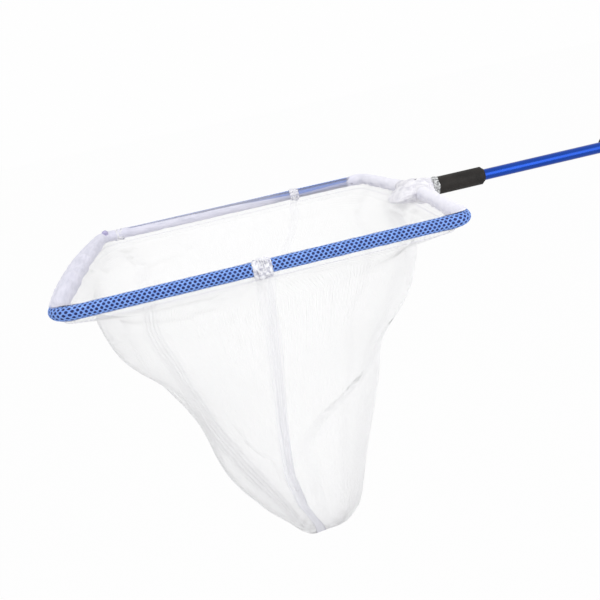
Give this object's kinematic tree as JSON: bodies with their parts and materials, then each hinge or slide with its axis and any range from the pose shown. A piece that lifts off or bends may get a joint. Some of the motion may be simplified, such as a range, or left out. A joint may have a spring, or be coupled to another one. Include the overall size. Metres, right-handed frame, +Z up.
{
  "type": "leaf skimmer net",
  "caption": "Hand leaf skimmer with a square padded wire hoop, a deep fine-mesh bag and a three-section twist-lock telescopic pole.",
  "frame": {"origin": "on the pole's axis at the middle of the hand grip", "axes": "+X along the pole from the net to the hand, +Y across the hoop, +Z up out of the hoop's mouth"},
  "size_m": [0.8543, 0.3128, 0.3362],
  "materials": {
    "spring_wire": "satin",
    "foam": "matte",
    "net_mesh": "matte",
    "hem_mesh": "matte",
    "honeycomb_guard": "matte",
    "white_thread": "matte",
    "black_rubber": "matte",
    "blue_enamel": "gloss",
    "black_plastic": "matte",
    "white_nylon": "satin",
    "grip_rubber": "matte"
  },
  "bodies": {
    "handle": {"handle_tube": "blue_enamel", "handle_collar": "black_plastic", "handle_grip": "grip_rubber", "end_cap": "black_plastic"},
    "middle_carriage": {"middle_expander": "white_nylon"},
    "middle_cone": {"middle_cone_nut": "white_nylon"},
    "middle_section": {"middle_tube": "blue_enamel", "middle_collar": "black_plastic", "middle_screw_plug": "white_nylon"},
    "tip_carriage": {"tip_expander": "white_nylon"},
    "tip_cone": {"tip_cone_nut": "white_nylon"},
    "head": {"hoop_wire": "spring_wire", "edge_foam": "foam", "edge_casing_left": "hem_mesh", "edge_casing_front_right": "hem_mesh", "edge_casing_back_right": "hem_mesh", "edge_guard_left": "honeycomb_guard", "edge_guard_back": "honeycomb_guard", "edge_guard_front_right": "honeycomb_guard", "edge_guard_back_right": "honeycomb_guard", "net_left_panel": "net_mesh", "net_right_panel": "net_mesh", "seam_tape": "white_thread", "net_hem_band": "white_thread", "front_tie": "white_thread", "back_tie": "white_thread", "corner_tie": "white_thread", "neck_gather": "hem_mesh", "ferrule_sleeve": "black_rubber", "ferrule_bush": "black_rubber", "tang_plug": "black_plastic", "tip_tube": "blue_enamel", "tip_screw_plug": "white_nylon"}
  },
  "joints": [
    {"name": "middle_slide", "type": "slide", "parent": "handle", "child": "middle_carriage", "axis": [-1, 0, 0], "range_m": [0, 0.19]},
    {"name": "middle_twist", "type": "hinge", "parent": "middle_carriage", "child": "middle_section", "pos_m": [0.0365, 0, 0], "axis": [1, 0, 0], "range_deg": [0, 120]},
    {"name": "middle_cone_slide", "type": "slide", "parent": "middle_carriage", "child": "middle_cone", "axis": [1, 0, 0], "range_m": [0, 0.00052]},
    {"name": "tip_slide", "type": "slide", "parent": "middle_section", "child": "tip_carriage", "axis": [-1, 0, 0], "range_m": [-0.12, 0.08]},
    {"name": "tip_twist", "type": "hinge", "parent": "tip_carriage", "child": "head", "pos_m": [-0.1195, 0, 0], "axis": [1, 0, 0], "range_deg": [0, 120]},
    {"name": "tip_cone_slide", "type": "slide", "parent": "tip_carriage", "child": "tip_cone", "axis": [1, 0, 0], "range_m": [0, 0.00052]}
  ],
  "couplings": [
    {"joint": "middle_cone_slide", "follows": "middle_twist", "m_per_rad": 0.00023873},
    {"joint": "tip_cone_slide", "follows": "tip_twist", "m_per_rad": 0.00023873}
  ]
}
